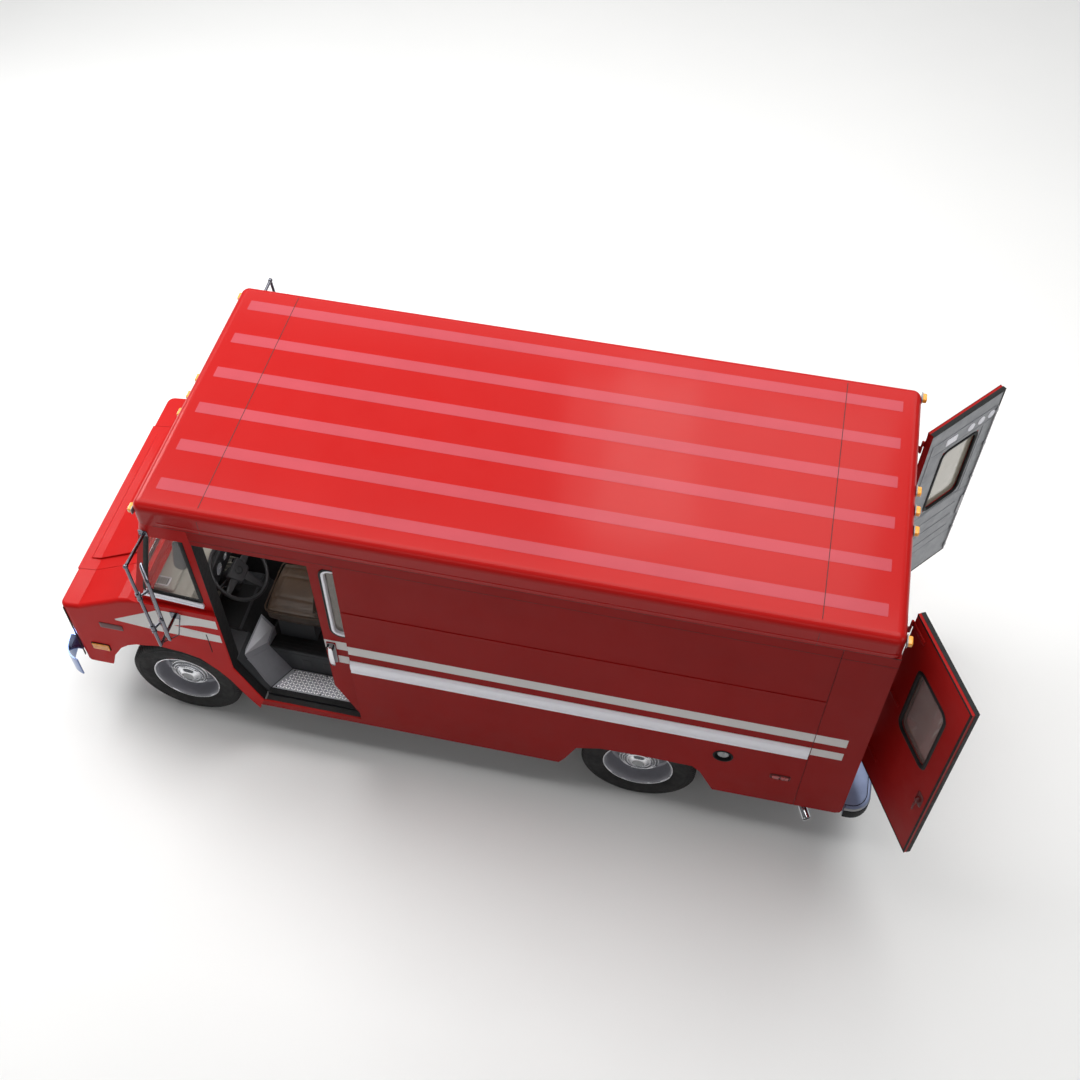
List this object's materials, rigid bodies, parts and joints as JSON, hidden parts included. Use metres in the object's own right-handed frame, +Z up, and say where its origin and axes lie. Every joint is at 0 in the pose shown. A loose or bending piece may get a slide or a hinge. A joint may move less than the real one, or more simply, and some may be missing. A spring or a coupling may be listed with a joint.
{
  "type": "mail delivery truck",
  "caption": "Walk-in mail delivery truck with sliding side doors, double rear doors, spinning and steering wheels, lifting hood, driver seat, pedals and side mirrors.",
  "frame": {"origin": "on the ground, under the middle of the truck's length and width", "axes": "+X forward, +Y to the vehicle's left, +Z up; the ground is z = 0"},
  "size_m": [6.276, 2.7089, 2.572],
  "materials": {
    "red_paint": "glossy deep red enamel with orange peel",
    "roof_paint": "glossy bright red enamel",
    "window_glass": "clear, slightly green",
    "tyre_rubber": "matt black tread rubber",
    "wheel_silver": "satin silver enamel",
    "bright_chrome": "polished",
    "bumper_steel": "satin blue-grey enamel",
    "rail_aluminium": "brushed lengthways",
    "tread_aluminium": "worn diamond plate",
    "floor_aluminium": "dull mill finish",
    "frame_black": "semi-gloss black",
    "cast_grey": "rough cast",
    "pipe_steel": "aluminised steel",
    "cover_grey": "fine grained",
    "seat_vinyl": "dark brown grained vinyl",
    "black_plastic": "satin black",
    "pedal_rubber": "ribbed",
    "lamp_glass": "fluted clear lens",
    "lamp_plastic": "clear-coated lens"
  },
  "bodies": {
    "truck_body": {"cab_floor": "tread_aluminium", "cab_front": "red_paint", "cab_glass": "window_glass", "cargo_floor": "floor_aluminium", "chassis_frame": "frame_black", "dash_panel": "cover_grey", "engine": "cast_grey", "engine_cover": "cover_grey", "exhaust_system": "pipe_steel", "front_axle_beam": "frame_black", "front_bumper": "bright_chrome", "fuel_tank": "frame_black", "grille": "bright_chrome", "headlights": "lamp_glass", "leaf_springs": "frame_black", "left_side_panel": "red_paint", "marker_lights": "lamp_plastic", "mirror_arms": "bright_chrome", "nose": "red_paint", "rear_axle_housing": "frame_black", "rear_bumper": "bumper_steel", "rear_frame": "red_paint", "right_side_panel": "red_paint", "roof": "roof_paint", "rub_rails": "rail_aluminium", "steering_column": "black_plastic"},
    "hood": {"hood": "red_paint"},
    "left_door": {"left_door": "red_paint", "left_door_window": "window_glass"},
    "left_door_handle": {"left_door_handle": "bright_chrome"},
    "right_door": {"right_door": "red_paint", "right_door_window": "window_glass"},
    "right_door_handle": {"right_door_handle": "bright_chrome"},
    "rear_left_door": {"rear_left_door": "red_paint", "rear_left_window": "window_glass"},
    "rear_right_door": {"rear_right_door": "red_paint", "rear_right_window": "window_glass"},
    "rear_door_handle": {"rear_door_handle": "bright_chrome"},
    "left_knuckle": {"left_knuckle": "frame_black"},
    "right_knuckle": {"right_knuckle": "frame_black"},
    "front_left_wheel": {"front_left_tyre": "tyre_rubber", "front_left_wheel": "wheel_silver"},
    "front_right_wheel": {"front_right_tyre": "tyre_rubber", "front_right_wheel": "wheel_silver"},
    "rear_left_wheel": {"rear_left_tyre": "tyre_rubber", "rear_left_wheel": "wheel_silver"},
    "rear_right_wheel": {"rear_right_tyre": "tyre_rubber", "rear_right_wheel": "wheel_silver"},
    "driveshaft": {"driveshaft": "cast_grey"},
    "steering_wheel": {"steering_wheel": "black_plastic"},
    "horn_button": {"horn_button": "black_plastic"},
    "brake_pedal": {"brake_pedal": "pedal_rubber"},
    "accelerator_pedal": {"accelerator_pedal": "pedal_rubber"},
    "driver_seat": {"driver_seat": "seat_vinyl"},
    "left_mirror": {"left_mirror": "bright_chrome"},
    "right_mirror": {"right_mirror": "bright_chrome"},
    "left_wiper": {"left_wiper": "black_plastic"},
    "right_wiper": {"right_wiper": "black_plastic"},
    "sun_visor": {"sun_visor": "black_plastic"},
    "fuel_cap": {"fuel_cap": "cover_grey"}
  },
  "joints": [
    {"name": "hood_hinge", "type": "hinge", "parent": "truck_body", "child": "hood", "pos_m": [2.422, 0, 1.454], "axis": [0, -1, 0], "range_deg": [0, 60]},
    {"name": "left_door_slide", "type": "slide", "parent": "truck_body", "child": "left_door", "axis": [1, 0, 0], "range_m": [-0.04, 0.74]},
    {"name": "right_door_slide", "type": "slide", "parent": "truck_body", "child": "right_door", "axis": [1, 0, 0], "range_m": [-0.78, 0]},
    {"name": "left_door_handle_pivot", "type": "hinge", "parent": "left_door", "child": "left_door_handle", "pos_m": [0.971, 1.032, 1.361], "axis": [1, 0, 0], "range_deg": [0, 30], "stiffness_Nm_per_rad": 1.5, "springref_deg": -17.19},
    {"name": "right_door_handle_pivot", "type": "hinge", "parent": "right_door", "child": "right_door_handle", "pos_m": [1.711, -1.032, 1.361], "axis": [-1, 0, 0], "range_deg": [0, 30], "stiffness_Nm_per_rad": 1.5, "springref_deg": -17.19},
    {"name": "rear_left_door_hinge", "type": "hinge", "parent": "truck_body", "child": "rear_left_door", "pos_m": [-2.64, 0.723, 1.593], "axis": [0, 0, 1], "range_deg": [-12, 153]},
    {"name": "rear_right_door_hinge", "type": "hinge", "parent": "truck_body", "child": "rear_right_door", "pos_m": [-2.64, -0.723, 1.593], "axis": [0, 0, 1], "range_deg": [-140, 25]},
    {"name": "rear_door_handle_turn", "type": "hinge", "parent": "rear_left_door", "child": "rear_door_handle", "pos_m": [-2.93055, 1.29325, 1.32], "axis": [0.891, 0.454, 0], "range_deg": [0, 90], "stiffness_Nm_per_rad": 1, "springref_deg": -22.92},
    {"name": "steer_left", "type": "hinge", "parent": "truck_body", "child": "left_knuckle", "pos_m": [2.22, 0.69, 0.413], "axis": [0, 0, 1], "range_deg": [-32, 32]},
    {"name": "steer_right", "type": "hinge", "parent": "truck_body", "child": "right_knuckle", "pos_m": [2.22, -0.69, 0.413], "axis": [0, 0, 1], "range_deg": [-32, 32]},
    {"name": "steering_wheel_turn", "type": "hinge", "parent": "truck_body", "child": "steering_wheel", "pos_m": [1.8, 0.525, 1.335], "axis": [-0.6428, 0, 0.766], "range_deg": [-576, 576]},
    {"name": "horn_press", "type": "slide", "parent": "steering_wheel", "child": "horn_button", "axis": [0.6428, 0, -0.766], "range_m": [0, 0.006], "stiffness_N_per_m": 1500, "springref_m": -0.004},
    {"name": "front_left_spin", "type": "hinge", "parent": "left_knuckle", "child": "front_left_wheel", "pos_m": [2.22, 0.852, 0.413], "axis": [0, 1, 0], "continuous": true},
    {"name": "front_right_spin", "type": "hinge", "parent": "right_knuckle", "child": "front_right_wheel", "pos_m": [2.22, -0.852, 0.413], "axis": [0, 1, 0], "continuous": true},
    {"name": "rear_left_spin", "type": "hinge", "parent": "truck_body", "child": "rear_left_wheel", "pos_m": [-1.158, 0.852, 0.413], "axis": [0, 1, 0], "continuous": true},
    {"name": "rear_right_spin", "type": "hinge", "parent": "truck_body", "child": "rear_right_wheel", "pos_m": [-1.158, -0.852, 0.413], "axis": [0, 1, 0], "continuous": true},
    {"name": "driveshaft_spin", "type": "hinge", "parent": "truck_body", "child": "driveshaft", "pos_m": [-0.865, 0, 0.413], "axis": [0.9986, 0, 0.0523], "continuous": true},
    {"name": "brake_pedal_pivot", "type": "hinge", "parent": "truck_body", "child": "brake_pedal", "pos_m": [1.96, 0.412, 1.08], "axis": [0, -1, 0], "range_deg": [0, 20], "stiffness_Nm_per_rad": 30, "springref_deg": -11.46},
    {"name": "accelerator_pedal_pivot", "type": "hinge", "parent": "truck_body", "child": "accelerator_pedal", "pos_m": [1.975, 0.292, 1.08], "axis": [0, -1, 0], "range_deg": [0, 18], "stiffness_Nm_per_rad": 20, "springref_deg": -11.46},
    {"name": "driver_seat_slide", "type": "slide", "parent": "truck_body", "child": "driver_seat", "axis": [1, 0, 0], "range_m": [-0.06, 0.06]},
    {"name": "left_mirror_turn", "type": "hinge", "parent": "truck_body", "child": "left_mirror", "pos_m": [2.027, 1.332, 1.854], "axis": [0.0376, 0, 0.9993], "range_deg": [-25, 25]},
    {"name": "right_mirror_turn", "type": "hinge", "parent": "truck_body", "child": "right_mirror", "pos_m": [2.027, -1.332, 1.854], "axis": [0.0376, 0, 0.9993], "range_deg": [-25, 25]},
    {"name": "left_wiper_sweep", "type": "hinge", "parent": "truck_body", "child": "left_wiper", "pos_m": [2.3363, 0.48, 1.5372], "axis": [-0.964, 0, -0.2659], "range_deg": [0, 95]},
    {"name": "right_wiper_sweep", "type": "hinge", "parent": "truck_body", "child": "right_wiper", "pos_m": [2.3363, -0.48, 1.5372], "axis": [0.964, 0, 0.2659], "range_deg": [0, 95]},
    {"name": "sun_visor_swing", "type": "hinge", "parent": "truck_body", "child": "sun_visor", "pos_m": [2.03, 0.56, 2.262], "axis": [0, 1, 0], "range_deg": [0, 80]},
    {"name": "fuel_cap_turn", "type": "hinge", "parent": "truck_body", "child": "fuel_cap", "pos_m": [-1.719, 0.985, 0.917], "axis": [0, 1, 0], "range_deg": [0, 90]}
  ],
  "couplings": [
    {"joint": "steer_right", "follows": "steer_left", "ratio": 1},
    {"joint": "steering_wheel_turn", "follows": "steer_left", "ratio": 18},
    {"joint": "rear_right_spin", "follows": "rear_left_spin", "ratio": 1},
    {"joint": "driveshaft_spin", "follows": "rear_left_spin", "ratio": -4.1},
    {"joint": "right_wiper_sweep", "follows": "left_wiper_sweep", "ratio": 1}
  ]
}
